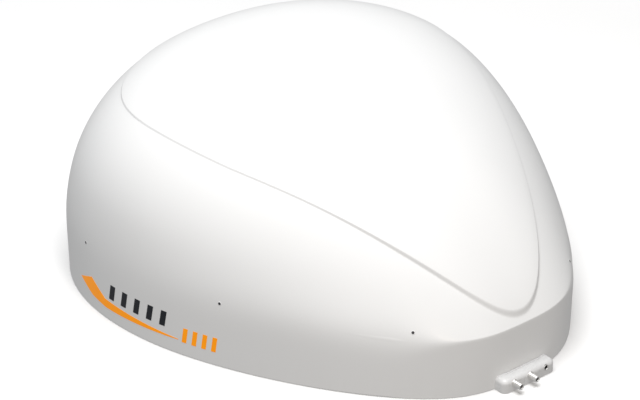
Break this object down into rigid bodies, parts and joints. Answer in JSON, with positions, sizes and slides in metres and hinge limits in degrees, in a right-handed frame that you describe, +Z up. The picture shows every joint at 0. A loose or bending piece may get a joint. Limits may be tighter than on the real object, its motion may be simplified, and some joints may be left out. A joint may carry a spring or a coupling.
{
  "type": "dome satellite antenna",
  "caption": "Egg-shaped white radome over a motor-driven turntable and tilting flat antenna panel, with coaxial sockets at the narrow end.",
  "frame": {"origin": "centre of the four threaded inserts on the flat underside", "axes": "+Y towards the wide end, -Y the narrow end with the sockets, +Z up; X is the mirror direction"},
  "size_m": [0.7041, 0.7905, 0.332],
  "materials": {
    "white_shell": "gloss white moulded shell",
    "panel_white": "matt",
    "orange_film": "satin printed film",
    "charcoal_film": "satin printed film",
    "dark_screw": "black oxide",
    "rubber_seal": "matt",
    "tray_plastic": "fine texture",
    "brass_part": "machined",
    "nickel_socket": "bright nickel",
    "insulator": "smooth",
    "zinc_screw": "zinc plated",
    "circuit_board": "solder mask",
    "tinned_can": "satin",
    "black_metal": "satin black",
    "cable_jacket": "satin",
    "bare_aluminium": "milled",
    "gear_plastic": "smooth",
    "bearing_steel": "ground",
    "black_plastic": "fine texture",
    "motor_can": "drawn",
    "horn_plastic": "metallised plastic"
  },
  "bodies": {
    "housing": {"radome": "white_shell", "decal_stripe": "orange_film", "decal_bars": "charcoal_film", "decal_dashes": "orange_film", "radome_screws": "dark_screw", "rim_seal": "rubber_seal", "base_tray": "tray_plastic", "mounting_inserts": "brass_part", "drain_plugs": "rubber_seal", "captive_nuts": "brass_part", "connector_housing": "white_shell", "connector_gasket": "rubber_seal", "coax_port_left": "nickel_socket", "coax_port_right": "nickel_socket", "coax_insulators": "insulator", "coax_nuts": "nickel_socket", "service_socket": "nickel_socket", "housing_screws": "zinc_screw", "control_board": "circuit_board", "board_standoffs": "brass_part", "board_screws": "zinc_screw", "tuner_can": "tinned_can", "heat_sink": "black_metal", "coax_lead_left": "cable_jacket", "coax_lead_right": "cable_jacket", "slip_ring_lead": "cable_jacket", "turntable_hub": "bare_aluminium", "hub_screws": "zinc_screw", "sun_gear": "gear_plastic", "bearing_inner_ring": "bearing_steel", "hub_nut": "bare_aluminium", "slip_ring_stator": "black_plastic"},
    "turntable": {"turntable_plate": "bare_aluminium", "bearing_outer_ring": "bearing_steel", "slip_ring_rotor": "bearing_steel", "slip_ring_strap": "bare_aluminium", "strap_screws": "zinc_screw", "azimuth_gearbox": "black_metal", "azimuth_motor": "motor_can", "turntable_board": "circuit_board", "yoke_left": "bare_aluminium", "yoke_right": "bare_aluminium", "yoke_screws": "zinc_screw", "tilt_bushes": "brass_part", "tilt_gearbox": "black_metal", "tilt_motor": "motor_can", "tilt_bumpers": "rubber_seal", "tilt_home_switch": "black_plastic"},
    "ball_set": {"bearing_balls": "bearing_steel", "bearing_cage": "brass_part"},
    "azimuth_drive": {"azimuth_pinion": "gear_plastic"},
    "tilt_panel": {"panel_frame": "bare_aluminium", "waveguide_panel": "horn_plastic", "panel_cover": "panel_white", "trunnion_left": "bearing_steel", "trunnion_right": "bearing_steel", "tilt_sector": "gear_plastic", "tilt_stop_arm": "bearing_steel", "low_noise_block": "tinned_can"},
    "tilt_drive": {"tilt_pinion": "gear_plastic"}
  },
  "joints": [
    {"name": "azimuth_turn", "type": "hinge", "parent": "housing", "child": "turntable", "pos_m": [0, 0.06, 0.032], "axis": [0, 0, 1], "continuous": true},
    {"name": "ball_set_roll", "type": "hinge", "parent": "housing", "child": "ball_set", "pos_m": [0, 0.06, 0.032], "axis": [0, 0, 1], "continuous": true},
    {"name": "azimuth_pinion_spin", "type": "hinge", "parent": "turntable", "child": "azimuth_drive", "pos_m": [0, 0.1275, 0.015], "axis": [0, 0, 1], "continuous": true},
    {"name": "elevation_tilt", "type": "hinge", "parent": "turntable", "child": "tilt_panel", "pos_m": [0, 0.06, 0.15], "axis": [1, 0, 0], "range_deg": [0, 65]},
    {"name": "tilt_pinion_spin", "type": "hinge", "parent": "turntable", "child": "tilt_drive", "pos_m": [0.2155, 0.10242, 0.09944], "axis": [1, 0, 0], "range_deg": [-293, 0.5]}
  ],
  "couplings": [
    {"joint": "ball_set_roll", "follows": "azimuth_turn", "ratio": 0.545},
    {"joint": "azimuth_pinion_spin", "follows": "azimuth_turn", "ratio": 4},
    {"joint": "tilt_pinion_spin", "follows": "elevation_tilt", "ratio": -4.5}
  ]
}
